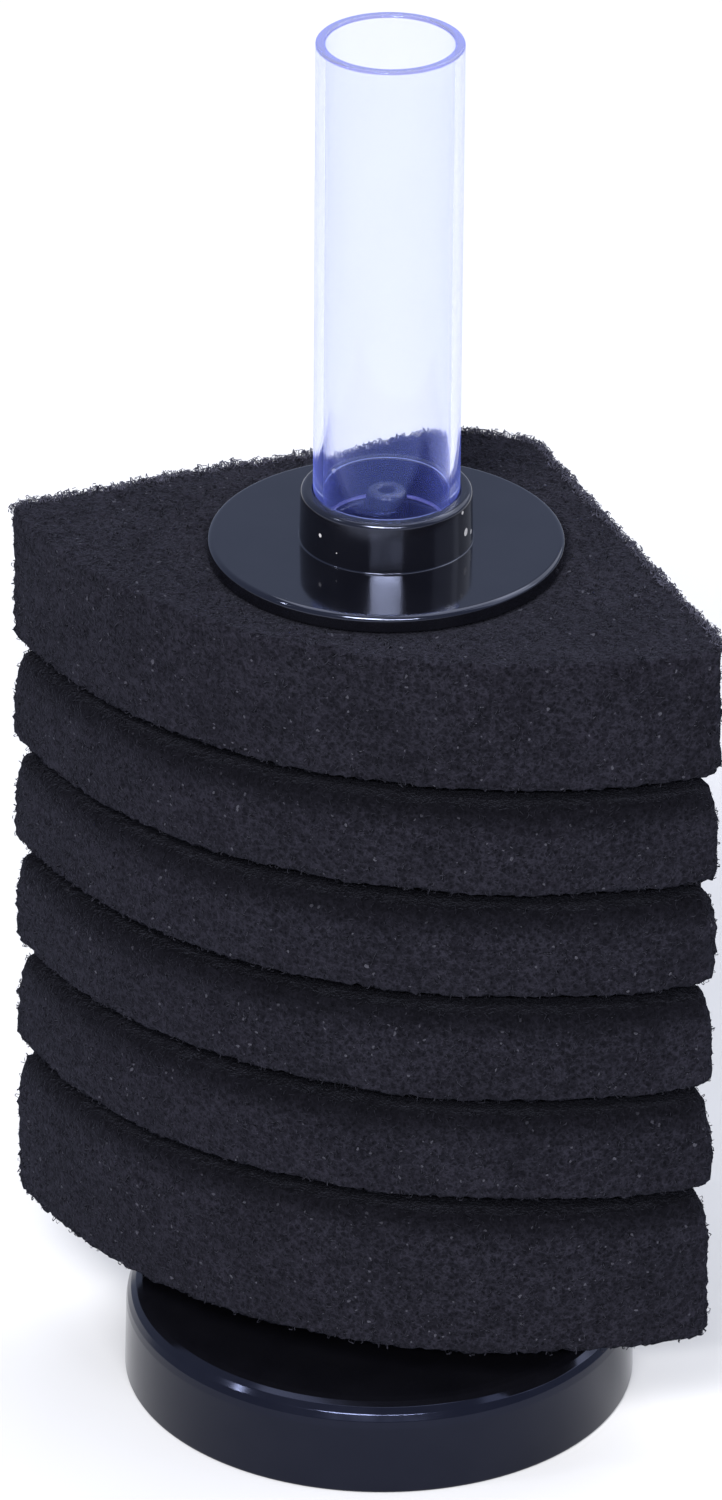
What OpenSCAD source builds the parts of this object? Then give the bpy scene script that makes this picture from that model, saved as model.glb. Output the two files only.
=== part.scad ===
// Air-driven corner sponge filter: a grooved foam block on a slotted column, standing on a
// weighted base, with a cap, an air injector and a clear riser tube on top.
// Origin at the centre of the base's underside, on the column's axis. +Z is up, the foam's
// curved face looks along -Y and its cut corner points along +Y.

/* [Base] */
// Outer diameter of the weighted base
base_d = 90; // [80:1:100]
// Height of the base's flat top above the surface it stands on
base_h = 17; // [16:0.5:22]
// Radius of the rounded top edge of the base
base_edge = 2.5; // [1:0.25:4]
// Thickness of the base's outer wall and top
base_wall = 2.5; // [2:0.25:3]
// Diameter of the boss that carries the column and the foam
boss_d = 36; // [34:1:50]
// Height of the boss above the base's flat top
boss_rise = 9; // [8:0.5:14]
// Height of the sealed ballast ring
ballast_h = 10; // [6:0.5:11]
// Thickness of the cover that closes the base from below
cover_t = 2.4; // [2:0.1:3]

/* [Column] */
// Outer diameter of the slotted column
column_d = 28; // [26:0.5:30]
// Wall of the slotted column
column_wall = 2; // [1.5:0.25:2.25]
// Length of the spigot under each column segment
spigot_len = 6; // [4:0.5:7]
// Rows of slots in each segment
slot_rows = 2; // [1:1:2]
// Slots around the column in each row
slots_around = 8; // [6:2:10]
// Width of one slot
slot_w = 4; // [2:0.5:4.5]
// Height of one slot
slot_h = 13; // [8:0.5:14]

/* [Foam] */
// Height of the foam block
foam_h = 134; // [120:1:150]
// Distance from the column's axis to each straight side
side_dist = 40.2; // [36:0.1:42]
// Radius of the curved front, struck from the point where the straight sides would meet
front_r = 94.1; // [86:0.1:96]
// Distance from the column's axis to the flat that cuts the back corner off
corner_dist = 49.8; // [45:0.2:50]
// Height of the top layer, above the first groove
top_layer = 23.8; // [18:0.2:26]
// Distance from one groove to the next
groove_pitch = 19.9; // [18:0.1:20.5]
// Width of a groove
groove_w = 3.8; // [2:0.1:5]
// Depth of a groove, the same all the way round
groove_depth = 12; // [6:0.5:14]
// Number of grooves
groove_count = 5; // [1:1:5]

/* [Cap] */
// Diameter of the disc that covers the foam's bore
disc_d = 61; // [52:0.5:66]
// Thickness of the disc
disc_t = 3; // [2.5:0.1:4]
// Height of the collar above the disc
collar_h = 9.2; // [8:0.1:12]
// Wall of the collar
collar_wall = 2.3; // [1.8:0.1:2.8]
// Depth of the socket that holds the riser tube
socket_depth = 7; // [5:0.5:8]
// Length of the cap's spigot, which sits in the top of the column
cap_spigot_len = 12; // [10:0.5:14]
// Diameter of the water passage through the cap
passage_d = 19.6; // [18:0.1:20]

/* [Air injector] */
// Diameter of the nipple that the air hose pushes on to
nipple_d = 7.2; // [6:0.1:8]
// Diameter of the air hole
air_hole_d = 2.6; // [2:0.1:3]
// Diameter of the hub below the nipple
hub_d = 9; // [8.4:0.1:10]
// Number of spokes that hold the hub
spoke_count = 3; // [3:1:4]
// Width of one spoke
spoke_w = 2; // [1.5:0.1:2.5]
// Height of the injector's ring and spokes
ring_h = 4; // [3:0.5:5]
// Diameter of the bubble diffuser under the hub
diffuser_d = 12; // [10:0.5:13]
// Length of the bubble diffuser
diffuser_len = 30; // [20:1:35]

/* [Riser tube] */
// Outer diameter of the clear riser tube
tube_d = 25; // [24:0.5:26]
// Wall of the riser tube
tube_wall = 1.7; // [1.5:0.1:2.2]
// Length of the riser tube
tube_len = 89.5; // [60:0.5:140]

/* [Fits] */
// Radial gap of each push fit between rigid pieces
push_gap = 0.1; // [0.05:0.05:0.2]
// Radial gap between the foam's bore and the column
foam_gap = 0.3; // [0.2:0.05:0.5]
// Gap that keeps the foam clear of the boss and the cap
face_gap = 0.2; // [0.1:0.05:0.3]

/* [Hidden] */

$fn = 96;
cut = 1;                    // how far a cutter runs past the solid that it cuts
segment_count = 3;
column_r = column_d / 2;
column_bore_r = column_r - column_wall;
spigot_r = column_bore_r - push_gap;
spigot_bore_r = spigot_r - 1.8;           // the spigot's wall is 1.8 thick
cover_groove = 0.6;
ballast_bore_r = 8;
boss_z = base_h + boss_rise;              // top of the boss, where the column stands
foam_z = boss_z + face_gap;
foam_top = foam_z + foam_h;
segment_h = (foam_top - boss_z) / segment_count;
cap_z = foam_top + face_gap;              // underside of the disc
disc_top = cap_z + disc_t;
collar_top = disc_top + collar_h;
seat_z = collar_top - socket_depth;       // where the riser tube stands
tube_r = tube_d / 2;
tube_end_r = tube_r - 0.25;               // the end is turned down a little for the socket
socket_r = tube_end_r + push_gap;
ring_r = spigot_r - 1.2;                  // the injector's ring, in the cap's spigot
ring_top = cap_z - 4;
ring_z = ring_top - ring_h;
nipple_edge = 1.1;                        // rounding of the nipple's tip
nipple_r = nipple_d / 2;
stem_r = 2.6;                             // the hub's lower stem, which carries the diffuser
stem_len = 8;
diffuser_wall = 1.4;
diffuser_top = ring_z;
diffuser_hole_r = 0.6;
corner_y = side_dist * sqrt(2);           // where the two straight sides would meet
black = [0.03, 0.03, 0.04];
foam_grey = [0.13, 0.13, 0.15];
clear_blue = [0.72, 0.78, 1.0, 0.35];

// A plain tube between two heights.
module tube(r_out, r_in, z_low, z_high) {
    difference() {
        translate([0, 0, z_low]) cylinder(r = r_out, h = z_high - z_low);
        translate([0, 0, z_low - cut]) cylinder(r = r_in, h = z_high - z_low + 2 * cut);
    }
}

// A disc that stands on z_low, with its top edge rounded.
module topped_disc(r, z_low, h, edge) {
    translate([0, 0, z_low]) rotate_extrude() {
        square([r - edge, h]);
        square([r, h - edge]);
        translate([r - edge, h - edge]) intersection() {
            circle(edge);
            square(edge);
        }
    }
}

// --- Base -------------------------------------------------------------------------------

module base_housing() {
    color(black) difference() {
        union() {
            topped_disc(base_d / 2, 0, base_h, base_edge);
            topped_disc(boss_d / 2, base_h - cut, boss_rise + cut, 0.8);
        }
        // the hollow that holds the ballast, open below
        translate([0, 0, -cut])
            cylinder(r = base_d / 2 - base_wall, h = base_h - base_wall + cut);
        // the socket for the column's spigot
        translate([0, 0, boss_z - spigot_len - face_gap])
            cylinder(r = column_bore_r, h = spigot_len + face_gap + cut);
    }
}

module base_ballast() {
    color("dimgray")
        tube(base_d / 2 - base_wall - 1, ballast_bore_r, cover_t, cover_t + ballast_h);
}

module base_cover() {
    groove_r = base_d / 2 - 9;
    color(black) difference() {
        cylinder(r = base_d / 2 - base_wall - push_gap, h = cover_t);
        // a shallow glue groove round the underside
        tube(groove_r, groove_r - 2, -cut, cover_groove);
    }
}

// --- Column -----------------------------------------------------------------------------

// One segment of the strainer column: a slotted tube whose spigot plugs into what is below.
module column_segment(level) {
    row_pitch = (segment_h - spigot_len - 4) / slot_rows;
    color(black) translate([0, 0, boss_z + level * segment_h]) difference() {
        union() {
            cylinder(r = column_r, h = segment_h);
            translate([0, 0, -spigot_len]) cylinder(r = spigot_r, h = spigot_len + cut);
        }
        translate([0, 0, 2]) cylinder(r = column_bore_r, h = segment_h);
        translate([0, 0, -spigot_len - cut])
            cylinder(r = spigot_bore_r, h = spigot_len + 4 + cut);
        for (row = [0 : slot_rows - 1], i = [0 : slots_around - 1])
            rotate(360 / slots_around * (i + 0.5))
                translate([0, -slot_w / 2, 4 + (row + 0.5) * row_pitch - slot_h / 2])
                    cube([column_r + cut, slot_w, slot_h]);
    }
}

module column_segment_lower() { column_segment(0); }
module column_segment_middle() { column_segment(1); }
module column_segment_upper() { column_segment(2); }

// --- Foam -------------------------------------------------------------------------------

// Outline of the block: two straight sides at a right angle, a curved front and a cut corner.
module foam_outline(inset) {
    corner = (side_dist - inset) * sqrt(2);
    half_cut = max(0.5, corner - corner_dist + inset);
    back = corner - half_cut;
    reach = 2 * front_r;
    intersection() {
        translate([0, corner_y]) circle(r = front_r - inset);
        polygon([[half_cut, back], [half_cut + reach, back - reach],
                 [-half_cut - reach, back - reach], [-half_cut, back]]);
    }
}

module foam_block() {
    color(foam_grey) difference() {
        translate([0, 0, foam_z]) linear_extrude(foam_h) foam_outline(0);
        translate([0, 0, foam_z - cut])
            cylinder(r = column_r + foam_gap, h = foam_h + 2 * cut);
        for (i = [0 : groove_count - 1])
            translate([0, 0, foam_top - top_layer - i * groove_pitch - groove_w])
                linear_extrude(groove_w) difference() {
                    foam_outline(-cut);
                    foam_outline(groove_depth);
                }
    }
}

// --- Cap --------------------------------------------------------------------------------

module top_cap() {
    collar_r = socket_r + collar_wall;
    color(black) difference() {
        union() {
            topped_disc(disc_d / 2, cap_z, disc_t, 0.9);
            topped_disc(collar_r, disc_top - cut, collar_h + cut, 0.8);
            translate([0, 0, cap_z - cap_spigot_len])
                cylinder(r = spigot_r, h = cap_spigot_len + cut);
        }
        translate([0, 0, cap_z - cap_spigot_len - cut])
            cylinder(d = passage_d, h = cap_spigot_len + disc_t + collar_h + 2 * cut);
        translate([0, 0, seat_z]) cylinder(r = socket_r, h = socket_depth + cut);
        translate([0, 0, cap_z - cap_spigot_len - cut])
            cylinder(r = ring_r + push_gap, h = cap_spigot_len - 4 + cut);
    }
}

// --- Air injector -----------------------------------------------------------------------

module air_injector() {
    color(black) difference() {
        union() {
            tube(ring_r, ring_r - 1.3, ring_z, ring_top);
            for (i = [0 : spoke_count - 1])
                rotate(120 + 360 / spoke_count * i)
                    translate([hub_d / 2 - 1, -spoke_w / 2, ring_z])
                        cube([ring_r - 0.6 - (hub_d / 2 - 1), spoke_w, ring_h]);
            translate([0, 0, ring_z]) cylinder(d = hub_d, h = ring_h);
            topped_disc(nipple_r, ring_top - cut, collar_top - ring_top + cut, nipple_edge);
            translate([0, 0, ring_z - stem_len]) cylinder(r = stem_r, h = stem_len + cut);
        }
        translate([0, 0, ring_z - stem_len - cut])
            cylinder(d = air_hole_d, h = collar_top - ring_z + stem_len + 2 * cut);
    }
}

// A perforated thimble that breaks the air into small bubbles.
module air_diffuser() {
    bore_r = diffuser_d / 2 - diffuser_wall;
    color(black) difference() {
        translate([0, 0, diffuser_top - diffuser_len])
            cylinder(d = diffuser_d, h = diffuser_len);
        translate([0, 0, diffuser_top - diffuser_len + diffuser_wall])
            cylinder(r = bore_r, h = diffuser_len - 4);
        translate([0, 0, diffuser_top - 4]) cylinder(r = stem_r + push_gap, h = 4 + cut);
        for (row = [0 : 2], i = [0 : 5])
            translate([0, 0, diffuser_top - diffuser_len + 5 + row * 5])
                rotate([0, 90, 60 * i + 30 * (row % 2)])
                    cylinder(r = diffuser_hole_r, h = diffuser_d, $fn = 24);
    }
}

// --- Riser tube -------------------------------------------------------------------------

module riser_tube() {
    color(clear_blue) difference() {
        union() {
            translate([0, 0, seat_z]) cylinder(r = tube_end_r, h = socket_depth + cut);
            translate([0, 0, collar_top])
                cylinder(r = tube_r, h = tube_len - socket_depth);
        }
        translate([0, 0, seat_z - cut]) cylinder(r = tube_r - tube_wall, h = tube_len + 2 * cut);
    }
}

base_housing();
base_ballast();
base_cover();
column_segment_lower();
column_segment_middle();
column_segment_upper();
foam_block();
top_cap();
air_injector();
air_diffuser();
riser_tube();
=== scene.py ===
"""Looks of the corner sponge filter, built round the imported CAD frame. Metres, +Z up."""

import math

import bmesh
import bpy
import numpy as np
from mathutils import Matrix, Vector, noise


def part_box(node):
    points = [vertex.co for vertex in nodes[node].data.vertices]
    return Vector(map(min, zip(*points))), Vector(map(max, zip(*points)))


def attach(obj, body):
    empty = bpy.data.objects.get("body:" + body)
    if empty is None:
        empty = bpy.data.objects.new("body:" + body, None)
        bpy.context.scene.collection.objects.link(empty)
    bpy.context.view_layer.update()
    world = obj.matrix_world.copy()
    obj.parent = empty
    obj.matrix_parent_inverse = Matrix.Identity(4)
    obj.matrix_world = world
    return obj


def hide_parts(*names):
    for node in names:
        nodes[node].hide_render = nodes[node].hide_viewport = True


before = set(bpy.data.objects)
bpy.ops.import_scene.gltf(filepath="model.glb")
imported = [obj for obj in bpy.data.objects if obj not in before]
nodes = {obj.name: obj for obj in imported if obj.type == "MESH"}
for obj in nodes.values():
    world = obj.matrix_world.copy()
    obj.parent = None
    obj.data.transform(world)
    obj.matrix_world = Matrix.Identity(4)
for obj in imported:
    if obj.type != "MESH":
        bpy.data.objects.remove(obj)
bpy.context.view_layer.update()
MM = 0.001
rng = np.random.default_rng(20)

# --- Camera, stage and light --------------------------------------------------------------

CAMERA_AZIMUTH = math.radians(23)
CAMERA_PITCH = math.radians(27.94)
CAMERA_ROLL = math.radians(0.437)
CAMERA_DISTANCE = 1.779
CAMERA_LENS = 248.5
AIM_SIDEWAYS = -4.0 * MM
AIM_HEIGHT = 122.1 * MM


def make_camera():
    """The camera stands in front and to the right, and looks down on the filter."""
    right = Vector((math.cos(CAMERA_AZIMUTH), math.sin(CAMERA_AZIMUTH), 0))
    level = Vector((-math.sin(CAMERA_AZIMUTH), math.cos(CAMERA_AZIMUTH), 0))
    ahead = level * math.cos(CAMERA_PITCH) - Vector((0, 0, math.sin(CAMERA_PITCH)))
    up = right.cross(ahead)
    across = right * math.cos(CAMERA_ROLL) + up * math.sin(CAMERA_ROLL)
    upward = up * math.cos(CAMERA_ROLL) - right * math.sin(CAMERA_ROLL)
    aim = right * AIM_SIDEWAYS + Vector((0, 0, AIM_HEIGHT))
    data = bpy.data.cameras.new("camera")
    data.sensor_width = 36
    data.lens = CAMERA_LENS
    data.clip_start = 0.05
    data.clip_end = 50
    camera = bpy.data.objects.new("camera", data)
    bpy.context.scene.collection.objects.link(camera)
    turn = Matrix((across, upward, -ahead)).transposed().to_4x4()
    camera.matrix_world = Matrix.Translation(aim - ahead * CAMERA_DISTANCE) @ turn
    bpy.context.scene.camera = camera


def direction(azimuth, elevation):
    """Unit vector towards a place round the object. Azimuth 0 is -Y, as the camera counts it."""
    a, e = math.radians(azimuth), math.radians(elevation)
    return Vector((math.sin(a) * math.cos(e), -math.cos(a) * math.cos(e), math.sin(e)))


def soft_light(name, azimuth, elevation, distance, width, height, power, colour):
    """A rectangular soft box that faces the middle of the object."""
    data = bpy.data.lights.new(name, "AREA")
    data.shape = "RECTANGLE"
    data.size = width
    data.size_y = height
    data.energy = power
    data.color = colour
    lamp = bpy.data.objects.new(name, data)
    bpy.context.scene.collection.objects.link(lamp)
    out = direction(azimuth, elevation)
    lamp.location = out * distance + Vector((0, 0, 0.12))
    lamp.rotation_mode = "QUATERNION"
    lamp.rotation_quaternion = out.to_track_quat("Z", "Y")


# --- Small tools for meshes ---------------------------------------------------------------


def mesh_object(name, points, faces):
    """A smooth-shaded object from points and faces."""
    mesh = bpy.data.meshes.new(name)
    mesh.from_pydata([tuple(p) for p in points], [], faces)
    mesh.update()
    mesh.polygons.foreach_set("use_smooth", [True] * len(mesh.polygons))
    piece = bpy.data.objects.new(name, mesh)
    bpy.context.scene.collection.objects.link(piece)
    return piece


def filleted(corners, closed, steps=5):
    """The path through corners (x, y, fillet radius), each corner rounded by an arc."""
    points = []
    count = len(corners)
    for i, (x, y, radius) in enumerate(corners):
        here = np.array((x, y), float)
        end = not closed and i in (0, count - 1)
        if radius <= 0 or end:
            points.append(here)
            continue
        back = np.array(corners[i - 1][:2], float) - here
        on = np.array(corners[(i + 1) % count][:2], float) - here
        back_len, on_len = np.linalg.norm(back), np.linalg.norm(on)
        back, on = back / back_len, on / on_len
        half = math.acos(np.clip(np.dot(back, on), -1, 1)) / 2
        tangent = min(radius / math.tan(half), 0.49 * back_len, 0.49 * on_len)
        start, stop = here + back * tangent, here + on * tangent
        centre = here + (back + on) / np.linalg.norm(back + on) * tangent / math.cos(half)
        first, last = start - centre, stop - centre
        sweep = math.atan2(
            first[0] * last[1] - first[1] * last[0], float(np.dot(first, last))
        )
        for k in range(steps + 1):
            turn = sweep * k / steps
            c, s = math.cos(turn), math.sin(turn)
            points.append(centre + (first[0] * c - first[1] * s, first[0] * s + first[1] * c))
    return np.array(points)


def held(section, gap=0.12):
    """Adds a point just inside each end of every long side, so that its shading stays flat."""
    points = []
    for here, after in zip(section, np.roll(section, -1, 0)):
        points.append(here)
        length = np.linalg.norm(after - here)
        if length > 4 * gap:
            points += [here + (after - here) * gap / length, after - (after - here) * gap / length]
    return np.array(points)


def lathe(name, corners, turns=192):
    """A closed ring turned round Z from a closed section of (radius, height, fillet) in mm."""
    section = held(filleted(corners, True)) * MM
    angles = np.arange(turns) * 2 * math.pi / turns
    points = np.array(
        [(r * math.cos(a), r * math.sin(a), z) for a in angles for r, z in section]
    )
    n = len(section)
    faces = [
        (
            t * n + k,
            t * n + (k + 1) % n,
            (t + 1) % turns * n + (k + 1) % n,
            (t + 1) % turns * n + k,
        )
        for t in range(turns)
        for k in range(n)
    ]
    piece = mesh_object(name, points, faces)
    face_outwards(piece)
    piece.data.set_sharp_from_angle(angle=math.radians(40))
    return piece


def face_outwards(piece):
    """Turns the faces out where the volume that they enclose comes out negative."""
    mesh = piece.data
    mesh.calc_loop_triangles()
    co = np.zeros(len(mesh.vertices) * 3)
    mesh.vertices.foreach_get("co", co)
    tri = np.zeros(len(mesh.loop_triangles) * 3, int)
    mesh.loop_triangles.foreach_get("vertices", tri)
    a, b, c = co.reshape(-1, 3)[tri.reshape(-1, 3)].transpose(1, 0, 2)
    if np.einsum("ij,ij->i", a, np.cross(b, c)).sum() < 0:
        mesh.flip_normals()


# --- Small tools for materials ------------------------------------------------------------


def put(tree, kind, values=None, **settings):
    """Adds a node, with its settings and the values of its sockets."""
    made = tree.nodes.new(kind)
    for key, value in settings.items():
        setattr(made, key, value)
    for key, value in (values or {}).items():
        made.inputs[key].default_value = value
    return made


def feed(tree, socket, source):
    """Sets a socket from another node's output or from a plain value."""
    if isinstance(source, bpy.types.NodeSocket):
        tree.links.new(source, socket)
    else:
        socket.default_value = source


def principled(name, **sockets):
    """A material with one Principled shader, and the sockets given set on it."""
    made = bpy.data.materials.new(name)
    made.use_nodes = True
    tree = made.node_tree
    tree.nodes.clear()
    shader = put(tree, "ShaderNodeBsdfPrincipled")
    output = put(tree, "ShaderNodeOutputMaterial")
    tree.links.new(shader.outputs[0], output.inputs["Surface"])
    for key, value in sockets.items():
        shader.inputs[key.replace("_", " ")].default_value = value
    return made, tree, shader, output


def math_node(tree, operation, a, b, clamp=False):
    """The result of one operation on two sockets or plain values."""
    made = put(tree, "ShaderNodeMath", operation=operation, use_clamp=clamp)
    feed(tree, made.inputs[0], a)
    feed(tree, made.inputs[1], b)
    return made.outputs[0]


def span(tree, value, low, high, out_low=0.0, out_high=1.0):
    """Maps value from low..high to out_low..out_high, smoothly, and holds it beyond them."""
    made = put(tree, "ShaderNodeMapRange", interpolation_type="SMOOTHSTEP")
    feed(tree, made.inputs["Value"], value)
    made.inputs["From Min"].default_value = low
    made.inputs["From Max"].default_value = high
    made.inputs["To Min"].default_value = out_low
    made.inputs["To Max"].default_value = out_high
    return made.outputs[0]


def blend_colour(tree, share, a, b):
    """Colour a where share is 0, colour b where it is 1."""
    made = put(tree, "ShaderNodeMix", data_type="RGBA")
    feed(tree, made.inputs["Factor"], share)
    feed(tree, made.inputs["A"], a)
    feed(tree, made.inputs["B"], b)
    return made.outputs["Result"]


def place(tree):
    """The place on the piece, in metres, in its own frame."""
    return put(tree, "ShaderNodeTexCoord").outputs["Object"]


def cloud(tree, where, size, detail=3.0, roughness=0.55):
    """Noise whose lumps are about size metres across."""
    made = put(
        tree, "ShaderNodeTexNoise", {"Scale": 1 / size, "Detail": detail, "Roughness": roughness}
    )
    tree.links.new(where, made.inputs["Vector"])
    return made.outputs["Fac"]


def height_of(tree, where):
    """The height of a place."""
    made = put(tree, "ShaderNodeSeparateXYZ")
    tree.links.new(where, made.inputs[0])
    return made.outputs[2]


def stretched(tree, where, factor):
    """A place with its height scaled, for patterns that run along a piece or round it."""
    made = put(tree, "ShaderNodeMapping", {"Scale": (1, 1, factor)})
    tree.links.new(where, made.inputs["Vector"])
    return made.outputs[0]


def cells(tree, where, size):
    """Voronoi cells about size metres across."""
    made = put(tree, "ShaderNodeTexVoronoi", {"Scale": 1 / size}, feature="F1")
    tree.links.new(where, made.inputs["Vector"])
    return made


def specks(tree, where, spacing, share, radius):
    """A mask of sparse round specks: share of the cells hold one, radius is in metres."""
    grain = cells(tree, where, spacing)
    pick = put(tree, "ShaderNodeSeparateColor")
    tree.links.new(grain.outputs["Color"], pick.inputs[0])
    chosen = span(tree, pick.outputs[0], 1 - share, 1 - share + 0.001)
    spread = math_node(tree, "MULTIPLY", pick.outputs[1], radius / spacing)
    close = math_node(tree, "LESS_THAN", grain.outputs["Distance"], spread)
    return math_node(tree, "MULTIPLY", chosen, close)


def bump(tree, shader, height, distance, strength=1.0):
    """Lets a height pattern tilt the shader's normal; distance is its depth in metres."""
    made = put(tree, "ShaderNodeBump", {"Distance": distance, "Strength": strength})
    tree.links.new(height, made.inputs["Height"])
    tree.links.new(made.outputs[0], shader.inputs["Normal"])


# --- Materials ----------------------------------------------------------------------------

COOL = (0.62, 0.69, 1.0, 1.0)             # the bluish light that the plastic mirrors
CAP_TINT = (0.66, 0.73, 1.0, 1.0)
BASE_TINT = (0.52, 0.60, 1.0, 1.0)
DUST = (0.30, 0.29, 0.28, 1)
GLINT = (0.030, 0.030, 0.037, 1)          # a cell wall that catches the light
TOP_LAYER = 23.8                          # the foam's layers and the grooves between them, in mm
GROOVE_PITCH = 19.9
GROOVE_W = 3.8
GROOVE_DEPTH = 12.0
GROOVES = 5
SHADE_DROP = 6.5                          # how far below a groove its painted shade reaches, in mm
SHADE_AT_GROOVE = 0.26                    # painted brightness just below a groove, and inside it
SHADE_IN_GROOVE = 0.1
COARSE_CELL = 0.85                        # sizes of the foam's cells, in mm
FINE_CELL = 0.45
CELL_WARP = 0.9                           # how far, and over what distance, cells are bent, in mm


def painted_groove_shade(tree, where, first_groove):
    """Painted shade: 1 on the foam's open faces, and less just below each groove and inside it."""
    height = height_of(tree, where)
    depth = math_node(tree, "SUBTRACT", first_groove, height)
    below = math_node(tree, "MODULO", depth, GROOVE_PITCH * MM)
    layer = (GROOVE_PITCH - GROOVE_W) * MM
    under_groove = span(tree, below, 0.0, SHADE_DROP * MM, SHADE_AT_GROOVE, 1.0)
    in_groove = span(
        tree, below, layer - 0.2 * MM, layer + 0.6 * MM, 1.0, SHADE_IN_GROOVE
    )
    lit = math_node(tree, "MULTIPLY", under_groove, in_groove)
    top_layer_foot = first_groove + (GROOVE_W - 0.4) * MM
    in_top_layer = math_node(tree, "GREATER_THAN", height, top_layer_foot)
    lit = math_node(tree, "MAXIMUM", lit, in_top_layer)
    last_shade_foot = ((GROOVES - 1) * GROOVE_PITCH + SHADE_DROP + 0.5) * MM
    in_last_layer = math_node(tree, "GREATER_THAN", depth, last_shade_foot)
    return math_node(tree, "MAXIMUM", lit, in_last_layer)


def foam_material(name, dark, light, first_groove):
    """Charcoal open-cell foam: dark pores between lighter struts, painted shade at the grooves.

    first_groove is the height in metres of the foot of the highest groove.
    """
    made, tree, shader, _ = principled(
        name,
        Sheen_Weight=0.02,
        Sheen_Roughness=0.5,
        Sheen_Tint=(0.72, 0.76, 1.0, 1.0),
        Specular_IOR_Level=0.0,
    )
    where = place(tree)
    warp = put(tree, "ShaderNodeTexNoise", {"Scale": 1 / (CELL_WARP * MM), "Detail": 1.0})
    tree.links.new(where, warp.inputs["Vector"])
    shift = put(tree, "ShaderNodeVectorMath", {1: (0.5, 0.5, 0.5)}, operation="SUBTRACT")
    tree.links.new(warp.outputs["Color"], shift.inputs[0])
    amount = put(tree, "ShaderNodeVectorMath", {"Scale": CELL_WARP * MM}, operation="SCALE")
    tree.links.new(shift.outputs[0], amount.inputs[0])
    bent = put(tree, "ShaderNodeVectorMath", operation="ADD")
    tree.links.new(where, bent.inputs[0])
    tree.links.new(amount.outputs[0], bent.inputs[1])
    coarse = cells(tree, bent.outputs[0], COARSE_CELL * MM)
    fine = cells(tree, bent.outputs[0], FINE_CELL * MM)
    pick = put(tree, "ShaderNodeSeparateColor")
    tree.links.new(coarse.outputs["Color"], pick.inputs[0])
    wall = span(tree, coarse.outputs["Distance"], 0.05, 0.72)
    wall_fine = span(tree, fine.outputs["Distance"], 0.05, 0.70)
    struts = math_node(
        tree,
        "ADD",
        math_node(tree, "MULTIPLY", wall, 0.55),
        math_node(tree, "MULTIPLY", wall_fine, 0.45),
    )
    vary = span(tree, pick.outputs[0], 0.0, 1.0, 0.50, 1.08)
    patches = span(tree, cloud(tree, where, 14 * MM), 0.3, 0.7, 0.85, 1.12)
    # painted shade below and inside the grooves, which darkens the struts and the glints there
    painted_shade = painted_groove_shade(tree, where, first_groove)
    lit = math_node(tree, "MULTIPLY", math_node(tree, "MULTIPLY", struts, vary), patches)
    lit = math_node(tree, "MULTIPLY", lit, painted_shade, True)
    body = blend_colour(tree, lit, dark, light)
    glints = specks(tree, bent.outputs[0], 1.25 * MM, 0.26, 0.32 * MM)
    glints = math_node(tree, "MULTIPLY", glints, painted_shade)
    colour = blend_colour(tree, glints, body, GLINT)
    tree.links.new(colour, shader.inputs["Base Color"])
    tree.links.new(span(tree, struts, 0, 1, 0.97, 0.75), shader.inputs["Roughness"])
    bump(tree, shader, struts, 0.4 * MM, 0.8)
    return made


def gloss_black(name, tint, level, roughness, dust_share, rough_above=None):
    """Glossy black moulded plastic: faint waviness, hair scratches and specks of dust.

    Above the height rough_above, in metres, it is duller and dustier.
    """
    made, tree, shader, _ = principled(name, Specular_Tint=tint, Specular_IOR_Level=level)
    where = place(tree)
    mottle = cloud(tree, where, 9 * MM)
    dust = specks(tree, where, 5 * MM, dust_share, 0.62 * MM)
    hairs = span(tree, cloud(tree, stretched(tree, where, 14), 1.6 * MM, 2), 0.66, 0.74)
    body = blend_colour(tree, mottle, (0.0012, 0.0012, 0.0018, 1), (0.003, 0.003, 0.0042, 1))
    rough = span(tree, mottle, 0.3, 0.7, roughness, roughness + 0.05)
    rough = math_node(tree, "ADD", rough, math_node(tree, "MULTIPLY", hairs, 0.06))
    if rough_above is not None:
        dull = span(tree, height_of(tree, where), rough_above, rough_above + 2 * MM)
        rough = math_node(tree, "ADD", rough, math_node(tree, "MULTIPLY", dull, 0.04))
        more = specks(tree, where, 3.0 * MM, 0.22, 0.75 * MM)
        dust = math_node(tree, "MAXIMUM", dust, math_node(tree, "MULTIPLY", more, dull))
    rough = math_node(tree, "ADD", rough, math_node(tree, "MULTIPLY", dust, 0.6), True)
    tree.links.new(blend_colour(tree, dust, body, DUST), shader.inputs["Base Color"])
    tree.links.new(rough, shader.inputs["Roughness"])
    wave = cloud(tree, where, 22 * MM, 1.0)
    lift = math_node(tree, "ADD", wave, math_node(tree, "MULTIPLY", dust, 0.6))
    bump(tree, shader, lift, 0.10 * MM, 0.5)
    return made


def satin_black(name):
    """Plain black moulding, with the fine grain of an unpolished mould."""
    made, tree, shader, _ = principled(name, Specular_Tint=COOL)
    where = place(tree)
    grain = cloud(tree, where, 0.8 * MM, 4)
    colour = blend_colour(tree, grain, (0.010, 0.010, 0.012, 1), (0.022, 0.022, 0.026, 1))
    tree.links.new(colour, shader.inputs["Base Color"])
    tree.links.new(span(tree, grain, 0.3, 0.7, 0.38, 0.52), shader.inputs["Roughness"])
    bump(tree, shader, grain, 0.05 * MM, 0.5)
    return made


def ballast_stone():
    """Coarse grey cast ballast."""
    made, tree, shader, _ = principled("ballast_stone_cast")
    where = place(tree)
    grit = cloud(tree, where, 1.5 * MM, 6, 0.7)
    colour = blend_colour(tree, grit, (0.16, 0.155, 0.15, 1), (0.42, 0.41, 0.39, 1))
    tree.links.new(colour, shader.inputs["Base Color"])
    tree.links.new(span(tree, grit, 0.3, 0.7, 0.8, 0.95), shader.inputs["Roughness"])
    bump(tree, shader, grit, 0.4 * MM, 0.7)
    return made


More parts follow.
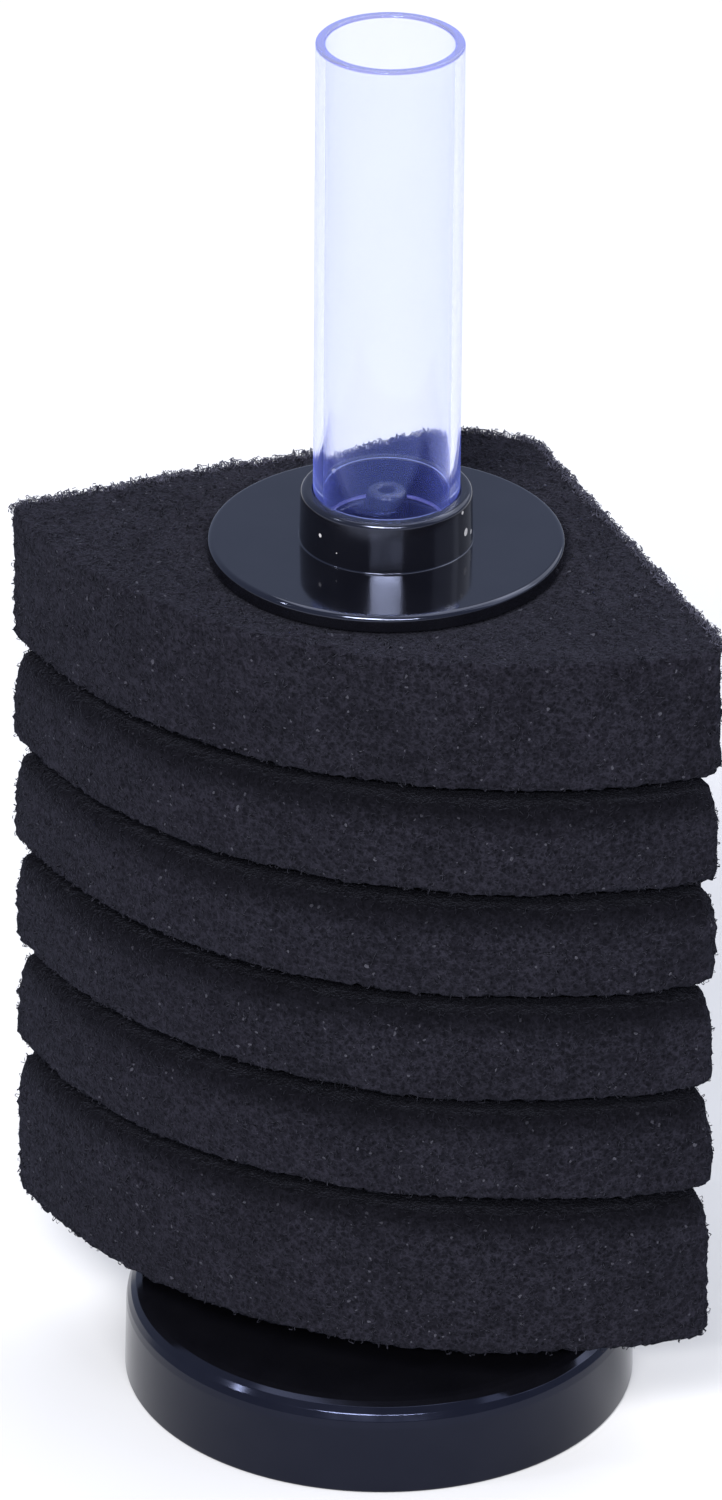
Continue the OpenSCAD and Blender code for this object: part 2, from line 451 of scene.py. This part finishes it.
def clear_riser(name, clearness, haze):
    """Clear extruded tube: blue-violet in the mass, with draw lines and a milky haze."""
    made, tree, shader, output = principled(
        name,
        Base_Color=(0.945, 0.96, 1.0, 1.0),
        Transmission_Weight=clearness,
        IOR=1.47,
        Sheen_Weight=haze,
        Sheen_Roughness=0.6,
        Sheen_Tint=(0.20, 0.26, 1.0, 1.0),
        Specular_Tint=(0.28, 0.38, 1.0, 1.0),
    )
    body = put(
        tree, "ShaderNodeVolumeAbsorption", {"Color": (0.30, 0.42, 0.99, 1), "Density": 26.0}
    )
    tree.links.new(body.outputs[0], output.inputs["Volume"])
    lines = cloud(tree, stretched(tree, place(tree), 0.06), 2.2 * MM, 2)
    tree.links.new(span(tree, lines, 0.3, 0.75, 0.0, 0.05), shader.inputs["Roughness"])
    bump(tree, shader, lines, 0.01 * MM, 0.3)
    return made


def frosted_end():
    """The sawn end of the clear tube, which scatters the light that runs down its wall."""
    made, tree, shader, _ = principled("riser_sawn_end", Roughness=0.8, Specular_IOR_Level=0.2)
    saw = cloud(tree, place(tree), 0.5 * MM, 3)
    colour = blend_colour(tree, saw, (0.24, 0.24, 0.52, 1), (0.42, 0.40, 0.72, 1))
    tree.links.new(colour, shader.inputs["Base Color"])
    bump(tree, shader, saw, 0.05 * MM, 0.6)
    return made


def floor_material():
    """A matt pale floor, very slightly mottled."""
    made, tree, shader, _ = principled("floor_pale", Specular_IOR_Level=0.1, Roughness=0.9)
    mottle = cloud(tree, place(tree), 50 * MM)
    tint = blend_colour(tree, mottle, (0.410, 0.408, 0.405, 1), (0.430, 0.428, 0.425, 1))
    tree.links.new(tint, shader.inputs["Base Color"])
    return made


def paint(piece, material):
    """Gives a piece one material."""
    piece.data.materials.clear()
    piece.data.materials.append(material)


# --- Foam block ---------------------------------------------------------------------------

foam_low, foam_high = (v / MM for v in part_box("foam_block"))
FRONT_R = foam_high.x * math.sqrt(2)      # the curved front, struck from the straight sides' apex
APEX_Y = foam_low.y + FRONT_R
BACK_Y = foam_high.y                      # the cut back corner
LIP_ROUND = 0.9
GROOVE_ROUND = 0.7
FLARE = 1.2                               # how far the top of each layer is set in
FLARE_DROP = 7.0                          # how far down a layer reaches its full size
RIM = 2.5                                 # width of the upper and lower faces' outer band
COLUMN_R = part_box("column_segment_upper")[1].x / MM
BORE_R = COLUMN_R + 0.35
BORE_RINGS = 8                            # rings down the bore
DISC_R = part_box("top_cap")[1].x / MM
BOSS_R = 18.0
GRID = 1.15                               # spacing of the foam's mesh
FACE_RINGS = 30                           # rings across the top and the bottom face
SIDE_POINTS = 71                          # points along each straight side and the cut corner
CUT_POINTS = 11
CORNER_SMOOTHING = 9                      # passes that round the upright corners
PRESS = 0.35                              # how far the disc and the boss press into the foam


def foam_ring(inset):
    """The block's outline moved inwards by inset, as points in order round it, in mm."""
    radius = FRONT_R - inset
    # half the block's width where the curved front meets the straight sides
    half = (math.sqrt(2 * radius**2 - 2 * inset**2) - math.sqrt(2) * inset) / 2
    apex = APEX_Y - inset * math.sqrt(2)
    back = BACK_Y - inset
    corner_angle = math.atan2(half, APEX_Y - (apex - half))
    front_points = round(math.pi / 2 * FRONT_R / GRID)
    angles = np.linspace(corner_angle, -corner_angle, front_points, endpoint=False)
    front = np.stack([radius * np.sin(angles), APEX_Y - radius * np.cos(angles)], 1)
    left = np.linspace((-half, apex - half), (back - apex, back), SIDE_POINTS, endpoint=False)
    cut = np.linspace((back - apex, back), (apex - back, back), CUT_POINTS, endpoint=False)
    right = np.linspace((apex - back, back), (half, apex - half), SIDE_POINTS, endpoint=False)
    ring = np.concatenate([front, left, cut, right])
    for _ in range(CORNER_SMOOTHING):
        ring = ring * 0.5 + (np.roll(ring, 1, 0) + np.roll(ring, -1, 0)) * 0.25
    return ring


def foam_section():
    """The block's outer section from the top face to the bottom face: (inset, height) in mm."""
    top, bottom = foam_high.z, foam_low.z
    corners = [(RIM, top, 0), (0, top, 0.8)]
    for i in range(GROOVES):
        upper = top - TOP_LAYER - i * GROOVE_PITCH
        lower = upper - GROOVE_W
        corners += [
            (0, upper, LIP_ROUND),
            (GROOVE_DEPTH, upper, GROOVE_ROUND),
            (GROOVE_DEPTH, lower, GROOVE_ROUND),
            (FLARE, lower, 1.6),
            (0, lower - FLARE_DROP, 8),
        ]
    corners += [(0, bottom, 1.2), (RIM, bottom, 0)]
    path = filleted(corners, False, 3)
    points = [path[0]]
    for start, stop in zip(path[:-1], path[1:]):
        length = np.linalg.norm(stop - start)
        inset = (start[0] + stop[0]) / 2
        count = max(1, round(length / (GRID + 0.22 * inset)))  # coarser inside the grooves
        points += [start + (stop - start) * k / count for k in range(1, count + 1)]
    return np.array(points)


def foam_rings():
    """Every ring of the block's surface, in order, and how open to view each one is, 0 to 1."""
    section = foam_section()
    edge = foam_ring(RIM)
    bore = edge / np.linalg.norm(edge, axis=1)[:, None] * BORE_R
    rings, shown = [], []

    def add(flat, height, view):
        rings.append(np.column_stack([flat, np.full(len(flat), height)]))
        shown.append(view)

    for k in range(FACE_RINGS, 0, -1):
        share = k / FACE_RINGS
        add(edge + (bore - edge) * share, foam_high.z, 1.0)
    for inset, height in section:
        add(foam_ring(inset), height, 1.0 if inset < 4 else 0.0)
    for k in range(1, FACE_RINGS + 1):
        share = k / FACE_RINGS
        add(edge + (bore - edge) * share, foam_low.z, 0.4)
    for k in range(1, BORE_RINGS + 1):
        share = k / (BORE_RINGS + 1)
        add(bore, foam_low.z + (foam_high.z - foam_low.z) * share, 0.0)
    return np.array(rings), np.array(shown)


def vertex_normals(mesh):
    """The normals of a mesh's points."""
    out = np.zeros(len(mesh.vertices) * 3, np.float32)
    mesh.vertex_normals.foreach_get("vector", out)
    return out.reshape(-1, 3).astype(float)


def noise_at(points, size, shift=0.0):
    """Smooth noise, about -1 to 1, whose lumps are size mm across."""
    offset = Vector((shift, shift, shift))
    return np.array([noise.noise(Vector(p) / size + offset) for p in points])


def make_foam(material):
    """The foam block: a dense skin, rippled by hand cutting and pitted by its open cells."""
    rings, shown = foam_rings()
    count, around = rings.shape[:2]
    points = rings.reshape(-1, 3)
    faces = [
        (
            i * around + k,
            i * around + (k + 1) % around,
            (i + 1) % count * around + (k + 1) % around,
            (i + 1) % count * around + k,
        )
        for i in range(count)
        for k in range(around)
    ]
    piece = mesh_object("foam_body", points * MM, faces)
    face_outwards(piece)
    normals = vertex_normals(piece.data)
    radius = np.linalg.norm(points[:, :2], axis=1)
    free = np.repeat(shown > 0, around) & (radius > COLUMN_R + 6)
    under_disc = (points[:, 2] > foam_high.z - 0.5) & (radius < DISC_R + 0.5)
    on_boss = (points[:, 2] < foam_low.z + 0.5) & (radius < BOSS_R + 1.5)
    free &= ~(under_disc | on_boss)
    level = (points[:, 2] - foam_low.z) / (foam_high.z - foam_low.z)
    ripple = 0.55 * noise_at(points, 38) * np.sin(np.pi * np.clip(level, 0, 1))
    swell = 0.35 * noise_at(points, 21, 7.7) + 0.16 * noise_at(points, 5, 3.1)
    pits = rng.normal(0, 0.2, len(points)) - 0.05
    slide = rng.normal(0, 0.16, (len(points), 3))
    slide -= normals * np.einsum("ij,ij->i", slide, normals)[:, None]
    moved = points + normals * ((swell + pits) * free)[:, None] + slide * free[:, None]
    moved[:, 2] += ripple
    moved[under_disc, 2] -= PRESS
    moved[on_boss, 2] += PRESS
    piece.data.vertices.foreach_set("co", (moved * MM).ravel())
    piece.data.update()
    paint(piece, material)
    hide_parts("foam_block")
    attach(piece, "foam")
    return piece, np.repeat(shown, around) * free


def surface_samples(foam, shown, count, lip_share, back_edge=False):
    """Random places on the foam's open faces, or only on its upper back edge.

    Gives their points, their normals, and whether each is on a rounded lip. lip_share is the
    share of places that are on one.
    """
    mesh = foam.data
    mesh.calc_loop_triangles()
    co = np.zeros(len(mesh.vertices) * 3)
    mesh.vertices.foreach_get("co", co)
    co = co.reshape(-1, 3) / MM
    tri = np.zeros(len(mesh.loop_triangles) * 3, int)
    mesh.loop_triangles.foreach_get("vertices", tri)
    tri = tri.reshape(-1, 3)
    a, b, c = co[tri].transpose(1, 0, 2)
    cross = np.cross(b - a, c - a)
    size = np.linalg.norm(cross, axis=1)
    slope = np.abs(cross[:, 2]) / np.maximum(size, 1e-9)
    lip = (slope > 0.3) & (slope < 0.92)
    area = size * shown[tri].min(1)
    weight = np.where(lip, lip_share / area[lip].sum(), (1 - lip_share) / area[~lip].sum()) * area
    if back_edge:
        x, y, z = ((a + b + c) / 3).T
        inset = np.minimum(BACK_Y - y, (APEX_Y - y - np.abs(x)) / math.sqrt(2))
        weight = area * ((inset < 1.2) & (z > foam_high.z - 1.2))
    pick = rng.choice(len(tri), count, p=weight / weight.sum())
    u, v = rng.random((2, count))
    over = u + v > 1
    u[over], v[over] = 1 - u[over], 1 - v[over]
    point = a[pick] + (b - a)[pick] * u[:, None] + (c - a)[pick] * v[:, None]
    return point, cross[pick] / size[pick][:, None], lip[pick]


def make_struts(foam, shown, count, material):
    """Cut ends of cell struts that stand out of the foam's faces, most of them very short."""
    root, normal, _ = surface_samples(foam, shown, count, 0.2)
    lean = rng.normal(0, 0.55, (count, 3))
    aim = normal + lean
    aim /= np.linalg.norm(aim, axis=1)[:, None]
    side = np.cross(aim, rng.normal(0, 1, (count, 3)))
    side /= np.linalg.norm(side, axis=1)[:, None]
    other = np.cross(aim, side)
    length = 0.14 + rng.gamma(2.0, 0.075, count)
    thick = rng.uniform(0.08, 0.14, count)
    base = root - normal * 0.12
    points = np.zeros((count, 4, 3))  # a three-sided spike
    for k in range(3):
        turn = 2 * math.pi * k / 3
        points[:, k] = base + (side * math.cos(turn) + other * math.sin(turn)) * thick[:, None]
    points[:, 3] = root + aim * length[:, None]
    faces = [
        tuple(4 * i + k for k in face)
        for i in range(count)
        for face in ((0, 2, 1), (0, 1, 3), (1, 2, 3), (2, 0, 3))
    ]
    piece = mesh_object("foam_struts", points.reshape(-1, 3) * MM, faces)
    paint(piece, material)
    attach(piece, "foam")


def make_arches(name, foam, shown, count, material, reach=1.0, back_edge=False):
    """Rims of cut cells: small arches of three-sided wire, most of them on the foam's edges."""
    point, normal, lip = surface_samples(foam, shown, count, 0.62, back_edge)
    along = np.cross(normal, rng.normal(0, 1, (count, 3)))
    along /= np.linalg.norm(along, axis=1)[:, None]
    width = rng.uniform(0.28, 0.60, count) * (1 + (reach - 1) * 0.4)
    rise = rng.uniform(0.30, 0.75, count) * np.where(lip, 1.1, 0.75) * reach
    lean = normal + rng.normal(0, 0.35, (count, 3))
    lean /= np.linalg.norm(lean, axis=1)[:, None]
    thick = rng.uniform(0.06, 0.10, count)
    path = np.stack(
        [
            point - along * width[:, None] - normal * 0.25,
            point - along * (width * 0.55)[:, None] + lean * (rise * 0.90)[:, None],
            point + along * (width * 0.55)[:, None] + lean * rise[:, None],
            point + along * width[:, None] - normal * 0.25,
        ],
        1,
    )
    side = np.cross(along, lean)
    side /= np.linalg.norm(side, axis=1)[:, None]
    steps, sides = path.shape[1], 3
    points = np.zeros((count, steps, sides, 3))
    for k in range(sides):
        turn = 2 * math.pi * k / sides
        offset = side * math.cos(turn) + (lean * math.sin(turn))
        points[:, :, k] = path + (offset * thick[:, None])[:, None]
    faces = []
    for i in range(count):
        first = i * steps * sides
        for s in range(steps - 1):
            low, high = first + s * sides, first + (s + 1) * sides
            for k in range(sides):
                j = (k + 1) % sides
                faces.append((low + k, low + j, high + j, high + k))
        last = first + (steps - 1) * sides
        faces.append((first + 2, first + 1, first))
        faces.append((last, last + 1, last + 2))
    piece = mesh_object(name, points.reshape(-1, 3) * MM, faces)
    face_outwards(piece)
    paint(piece, material)
    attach(piece, "foam")


# --- Turned plastic pieces ----------------------------------------------------------------


AXIS_R = 0.05                             # where a turned section stops short of the axis
BASE_TOP = 17.0                           # the flat top of the foot
BASE_WALL = 2.5
BASE_DRAFT = 0.3
BASE_EDGE = 4.2                           # rounding of the top edge
SEAT_R = 12.0                             # the column's seat in the boss
SEAT_DEPTH = 6.2


def make_base(material):
    """The glossy foot: drafted wall, rounded top edge, flat top and the boss for the column."""
    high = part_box("base_housing")[1] / MM
    r = high.x
    ceiling = BASE_TOP - BASE_WALL
    piece = lathe(
        "base_shell",
        [
            (r, 0, 0.5),
            (r - BASE_DRAFT, BASE_TOP, BASE_EDGE),
            (BOSS_R + 1, BASE_TOP - 0.15, 1.0),
            (BOSS_R, high.z, 0.8),
            (SEAT_R, high.z, 0.3),
            (SEAT_R, high.z - SEAT_DEPTH, 0.2),
            (AXIS_R, high.z - SEAT_DEPTH, 0),
            (AXIS_R, ceiling, 0),
            (r - BASE_WALL, ceiling, 1.0),
            (r - BASE_WALL, 0, 0.2),
        ],
    )
    paint(piece, material)
    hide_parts("base_housing")
    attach(piece, "base")


COLLAR_RISE = 9.2                         # the cap's sizes
COLLAR_FOOT_R = 14.8
COLLAR_TOP_R = 14.6
DISC_THICK = 3
SOCKET_R = 12.35
SOCKET_DEPTH = 7
PASSAGE_R = 9.8                           # the water's way through the cap
SPIGOT_R = 11.9
SPIGOT_BORE_R = 10.8
SPIGOT_LENGTH = 12
PASSAGE_BELOW_DISC = 4


def make_cap(material):
    """Disc, collar and spigot in one moulding."""
    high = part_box("top_cap")[1] / MM
    disc_top = high.z - COLLAR_RISE
    under = disc_top - DISC_THICK
    seat = high.z - SOCKET_DEPTH
    step = under - PASSAGE_BELOW_DISC
    foot = under - SPIGOT_LENGTH
    piece = lathe(
        "cap_shell",
        [
            (DISC_R, under, 0.35),
            (DISC_R, disc_top, 0.9),
            (COLLAR_FOOT_R, disc_top + 0.05, 0.25),
            (COLLAR_TOP_R, high.z, 0.9),
            (SOCKET_R + 0.02, high.z, 0.5),
            (SOCKET_R, seat, 0.1),
            (PASSAGE_R, seat, 0.3),
            (PASSAGE_R, step, 0.1),
            (SPIGOT_BORE_R, step, 0.1),
            (SPIGOT_BORE_R, foot, 0.2),
            (SPIGOT_R, foot, 0.3),
            (SPIGOT_R, under, 0.2),
        ],
    )
    paint(piece, material)
    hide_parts("top_cap")
    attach(piece, "cap")


AIR_HOLE_R = 1.35                         # the air injector's sizes
STEM_R = 2.6
HUB_R = 4.5
NIPPLE_R = 3.6
NIPPLE_NECK_R = 3.3
RING_ABOVE_CAP_FOOT = 8
RING_HEIGHT = 4.0
RING_WALL = 1.3
SPOKE_WIDTH = 2.0
SPOKE_START = 3.6                         # a spoke's ends lie inside the hub and the ring
SPOKE_END_INSET = 0.9


def make_spoke(name, length, middle, height, angle):
    """One bevelled bar from the hub to the ring; angle is in degrees."""
    block = bmesh.new()
    bmesh.ops.create_cube(block, size=1)
    bmesh.ops.scale(block, vec=(length, SPOKE_WIDTH, RING_HEIGHT), verts=block.verts)
    bmesh.ops.bevel(
        block, geom=block.edges[:], offset=0.35, segments=3, profile=0.5, affect="EDGES"
    )
    bmesh.ops.translate(block, vec=(middle, 0, height), verts=block.verts)
    turn = Matrix.Rotation(math.radians(angle), 3, "Z")
    bmesh.ops.rotate(block, matrix=turn, verts=block.verts)
    bmesh.ops.scale(block, vec=(MM, MM, MM), verts=block.verts)
    mesh = bpy.data.meshes.new(name)
    block.to_mesh(mesh)
    block.free()
    spoke = bpy.data.objects.new(name, mesh)
    bpy.context.scene.collection.objects.link(spoke)
    return spoke


def make_injector(material):
    """The air injector: a nipple with rounded barbs on a hub, a ring round it and its spokes."""
    low, high = (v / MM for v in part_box("air_injector"))
    ring_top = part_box("top_cap")[0].z / MM + RING_ABOVE_CAP_FOOT
    ring_low = ring_top - RING_HEIGHT
    core = lathe(
        "injector_core",
        [
            (AIR_HOLE_R, low.z, 0.2),
            (STEM_R, low.z, 0.3),
            (STEM_R, ring_low, 0.2),
            (HUB_R, ring_low, 0.4),
            (HUB_R, ring_top, 0.6),
            (NIPPLE_NECK_R, ring_top + 0.2, 0.6),
            (NIPPLE_NECK_R, ring_top + 9.5, 0.3),
            (NIPPLE_R, ring_top + 10.2, 0.3),
            (NIPPLE_NECK_R + 0.05, ring_top + 12.6, 0.2),
            (NIPPLE_R, ring_top + 13.0, 0.3),
            (NIPPLE_NECK_R + 0.05, high.z, 0.9),
            (AIR_HOLE_R, high.z, 0.55),
        ],
        96,
    )
    ring = lathe(
        "injector_ring",
        [
            (high.x, ring_low, 0.3),
            (high.x, ring_top, 0.4),
            (high.x - RING_WALL, ring_top, 0.4),
            (high.x - RING_WALL, ring_low, 0.3),
        ],
        128,
    )
    reach = high.x - SPOKE_END_INSET
    spokes = [
        make_spoke(
            "injector_spoke_%d" % (i + 1),
            reach - SPOKE_START,
            (reach + SPOKE_START) / 2,
            (ring_low + ring_top) / 2,
            120 + 120 * i,
        )
        for i in range(3)
    ]
    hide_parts("air_injector")
    for piece in [core, ring] + spokes:
        paint(piece, material)
        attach(piece, "cap")


TUBE_R = 12.5                             # the clear tube's sizes
TUBE_FOOT_R = 12.25                       # its end is turned down to sit in the socket
TUBE_BORE_R = 10.8
RIM_BAND = 0.45                           # heights of the rim's and the sawn end's materials
END_BAND = 0.3


def make_riser(material, rim_material, end_material):
    """The clear tube, with a milky upper rim and a sawn lower end."""
    low, high = (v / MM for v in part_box("riser_tube"))
    piece = lathe(
        "riser_clear",
        [
            (TUBE_FOOT_R, low.z, 0.35),
            (TUBE_FOOT_R, low.z + SOCKET_DEPTH - 0.15, 0.1),
            (TUBE_R, low.z + SOCKET_DEPTH + 0.1, 0.1),
            (TUBE_R, high.z, 0.5),
            (TUBE_BORE_R, high.z, 0.5),
            (TUBE_BORE_R, low.z, 0.35),
        ],
    )
    paint(piece, material)
    piece.data.materials.append(rim_material)
    piece.data.materials.append(end_material)
    for face in piece.data.polygons:
        height = face.center.z / MM
        if height > high.z - RIM_BAND:
            face.material_index = 1
        elif height < low.z + END_BAND:
            face.material_index = 2
    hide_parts("riser_tube")
    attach(piece, "riser")


# --- The whole scene ----------------------------------------------------------------------

make_camera()

FLOOR_REACH = 6                           # half the floor's width, in metres
floor = mesh_object(
    "floor",
    [(x * FLOOR_REACH, y * FLOOR_REACH, 0) for x, y in ((-1, -1), (1, -1), (1, 1), (-1, 1))],
    [(0, 1, 2, 3)],
)
paint(floor, floor_material())

world = bpy.data.worlds.new("world")
bpy.context.scene.world = world
world.use_nodes = True
sky = world.node_tree.nodes["Background"]
sky.inputs["Color"].default_value = (0.62, 0.72, 1.0, 1.0)
sky.inputs["Strength"].default_value = 0.70
bpy.context.scene.view_settings.view_transform = "Standard"

# name, azimuth and elevation in degrees, distance, width and height in m, power in W, colour
LIGHTS = [
    ("front_low", 23, 30.2, 3.2, 2.1, 0.10, 152, (1.0, 0.99, 1.0)),
    ("front_high", 7, 41, 3.2, 1.1, 0.55, 138, (1.0, 0.99, 1.0)),
    ("right_box", 112, 35, 2.2, 1.6, 1.6, 14, (0.95, 0.96, 1.0)),
    ("left_lamp", -52, 40, 1.5, 0.07, 0.07, 2.5, (1.0, 1.0, 1.0)),
    ("top_box", 180, 72, 2.4, 2.4, 2.4, 50, (0.98, 0.98, 1.0)),
    ("back_fill", 150, 36, 2.8, 2.4, 2.0, 22, (0.97, 0.98, 1.0)),
]
for light in LIGHTS:
    soft_light(*light)

groove_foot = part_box("foam_block")[1].z - (TOP_LAYER + GROOVE_W) * MM
foam_look = foam_material(
    "foam_charcoal_cells", (0.0015, 0.0015, 0.0020, 1), (0.0105, 0.0102, 0.0144, 1), groove_foot
)
# painted light: a lighter copy of the foam for the cell rims, for light caught on the thin strands
rim_painted_light_look = foam_material(
    "foam_charcoal_rims_painted_light", (0.006, 0.006, 0.008, 1), (0.020, 0.020, 0.026, 1), groove_foot
)
# painted backlight: a still lighter copy of the foam for the lace on the top back edge, where
# light shines through the thin cells
lace_painted_backlight_look = foam_material(
    "foam_charcoal_lace_painted_backlight", (0.018, 0.018, 0.024, 1), (0.055, 0.055, 0.075, 1), groove_foot
)
foam_body, foam_shown = make_foam(foam_look)
make_struts(foam_body, foam_shown, 40000, foam_look)
make_arches("foam_cell_rims", foam_body, foam_shown, 9800, rim_painted_light_look)
make_arches("foam_edge_lace", foam_body, foam_shown, 3600, lace_painted_backlight_look, reach=1.8, back_edge=True)
make_base(gloss_black("base_gloss", BASE_TINT, 0.31, 0.10, 0.05))
collar_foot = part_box("top_cap")[1].z - (COLLAR_RISE - 0.6) * MM
make_cap(gloss_black("cap_gloss", CAP_TINT, 0.52, 0.07, 0.10, collar_foot))
make_riser(
    clear_riser("riser_clear_tint", 1.0, 0.30),
    clear_riser("riser_rim_tint", 0.88, 0.34),
    frosted_end(),
)

paint(nodes["base_cover"], satin_black("cover_satin"))
paint(nodes["base_ballast"], ballast_stone())
column_look = satin_black("column_satin")
for level in ("lower", "middle", "upper"):
    paint(nodes["column_segment_" + level], column_look)
make_injector(gloss_black("injector_gloss", CAP_TINT, 0.6, 0.22, 0.05))
paint(nodes["air_diffuser"], satin_black("diffuser_satin"))
